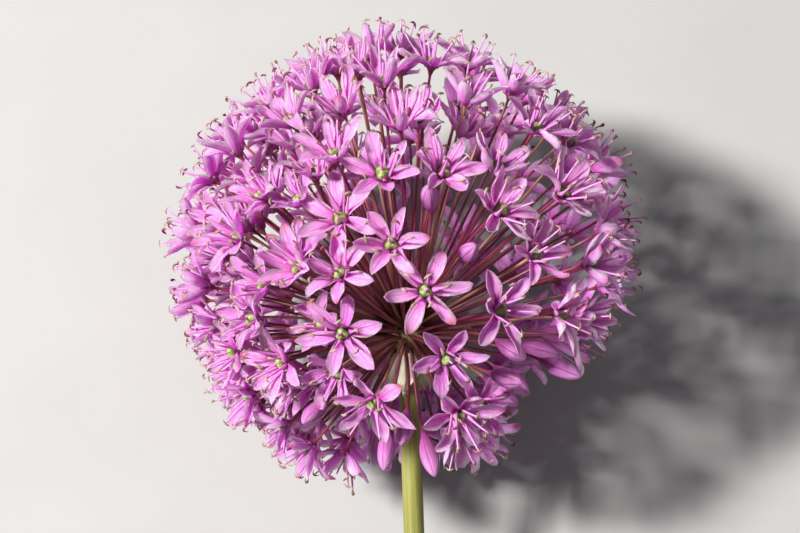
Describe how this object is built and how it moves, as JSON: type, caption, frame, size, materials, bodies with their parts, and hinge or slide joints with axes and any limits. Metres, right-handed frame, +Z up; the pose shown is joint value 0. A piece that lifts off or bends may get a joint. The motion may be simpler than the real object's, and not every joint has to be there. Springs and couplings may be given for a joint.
{
  "type": "allium flower head",
  "caption": "Globe-shaped umbel of starry violet-pink onion florets on straight pedicels, cut with part of its bare stem and lying on its side.",
  "frame": {"origin": "middle of the box's underside, on the surface that the head lies on", "axes": "+Y runs along the head as it lies, from the cut end of the stem to the crown of the globe; +Z is up, to the side that the picture shows; +X is to the right in the picture"},
  "size_m": [0.1026, 0.21, 0.0964],
  "materials": {
    "florets": "soft satin tepals, violet pink with paler edges",
    "stem": "smooth waxy olive green",
    "spathe": "dry papery cream with fine veins"
  },
  "bodies": {
    "root": {"scape": "stem", "spathe_1": "spathe", "spathe_2": "spathe", "crown_spray_1": "florets", "crown_spray_2": "florets", "crown_spray_3": "florets", "crown_spray_4": "florets", "crown_spray_5": "florets", "crown_spray_6": "florets", "upper_spray_1": "florets", "upper_spray_2": "florets", "upper_spray_3": "florets", "upper_spray_4": "florets", "upper_spray_5": "florets", "upper_spray_6": "florets", "upper_spray_7": "florets", "upper_spray_8": "florets", "middle_spray_1": "florets", "middle_spray_2": "florets", "middle_spray_3": "florets", "middle_spray_4": "florets", "middle_spray_5": "florets", "lower_spray_1": "florets", "lower_spray_2": "florets", "lower_spray_3": "florets", "lower_spray_4": "florets", "lower_spray_5": "florets"}
  },
  "joints": []
}
